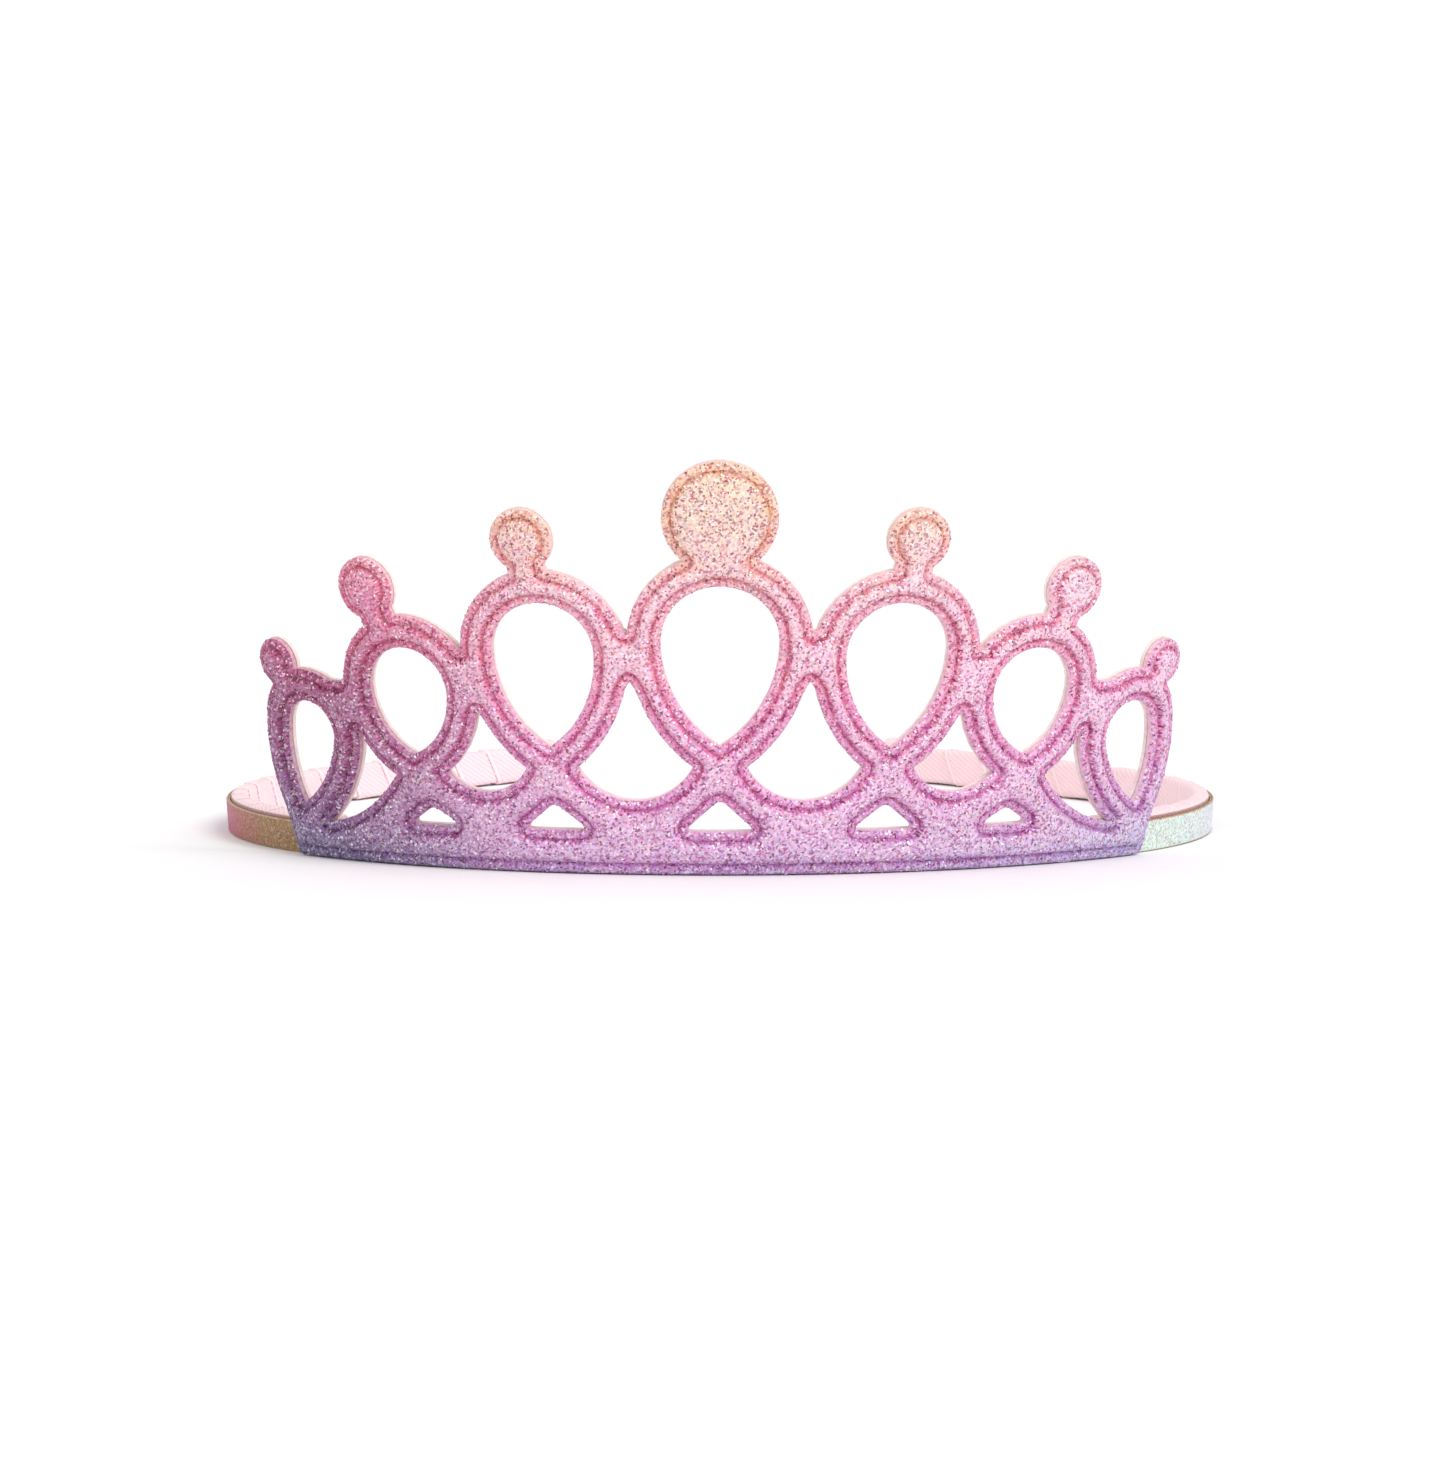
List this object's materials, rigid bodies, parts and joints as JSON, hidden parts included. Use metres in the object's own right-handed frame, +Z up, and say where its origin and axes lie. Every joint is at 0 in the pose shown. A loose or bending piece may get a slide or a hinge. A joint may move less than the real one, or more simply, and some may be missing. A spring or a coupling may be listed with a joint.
{
  "type": "mini crown headband",
  "caption": "Ribbon-wound hairband with a glitter strip on its outer face and a small pierced, padded glitter crown standing on the front.",
  "frame": {"origin": "middle of the object's box on the surface that it lies on", "axes": "+Z up from the surface, -Y towards the front that the crown faces, +X to the right in the picture"},
  "size_m": [0.126, 0.1438, 0.0501],
  "materials": {
    "ribbon": "matte",
    "glitter_strip": "glitter",
    "backing": "matte",
    "glitter_face": "glitter"
  },
  "bodies": {
    "root": {"ribbon_band": "ribbon", "glitter_strip": "glitter_strip", "crown_backing": "backing", "crown_face": "glitter_face"}
  },
  "joints": []
}
